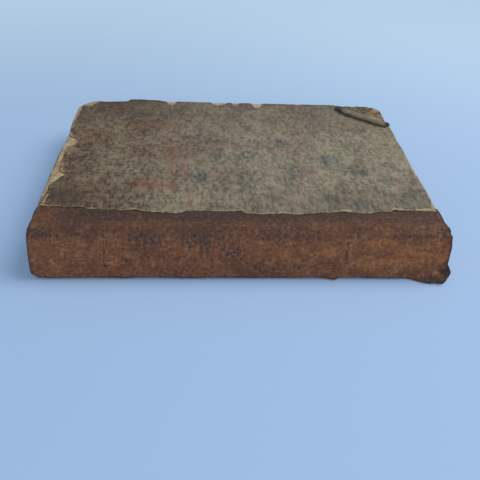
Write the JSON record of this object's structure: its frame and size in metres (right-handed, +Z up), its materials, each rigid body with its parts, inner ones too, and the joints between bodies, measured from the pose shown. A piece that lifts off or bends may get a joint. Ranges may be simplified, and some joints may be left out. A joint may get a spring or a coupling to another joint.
{
  "type": "hardback book",
  "caption": "Old hardback book lying closed, with a leather spine, speckled paper sides and covers that open on their joints.",
  "frame": {"origin": "middle of the footprint, on the surface that the book lies on", "axes": "+X along the spine, from tail to head; +Y from the spine to the fore edge; +Z up, from the back cover to the front cover"},
  "size_m": [0.2232, 0.1598, 0.0316],
  "materials": {
    "leather": "worn brown leather, dry and matt, with a fine vertical grain and dark blotches",
    "side_paper": "speckled grey-brown cover paper, rubbed and matt",
    "board": "bare grey-tan pasteboard with rough edges",
    "endpaper": "plain toned endpaper, matt",
    "page_edges": "cut edges of toned leaves, dusty and matt",
    "lining": "glued cloth and paper",
    "band_thread": "plain thread over a cord, matt"
  },
  "bodies": {
    "back_cover": {"back_board": "board", "back_paper": "side_paper", "back_leather": "leather", "back_pastedown": "endpaper"},
    "text_block": {"pages": "page_edges", "front_flyleaf": "endpaper", "back_flyleaf": "endpaper", "spine_lining": "lining", "head_band": "band_thread", "tail_band": "band_thread", "spine_leather": "leather"},
    "front_cover": {"front_board": "board", "front_paper": "side_paper", "front_leather": "leather", "front_pastedown": "endpaper"}
  },
  "joints": [
    {"name": "rear_hinge", "type": "hinge", "parent": "back_cover", "child": "text_block", "pos_m": [-0.00105, -0.07205, 0.003], "axis": [-1, 0, 0], "range_deg": [-90, 0]},
    {"name": "front_hinge", "type": "hinge", "parent": "text_block", "child": "front_cover", "pos_m": [-0.00105, -0.06755, 0.0276], "axis": [1, 0, 0], "range_deg": [0, 175]}
  ]
}
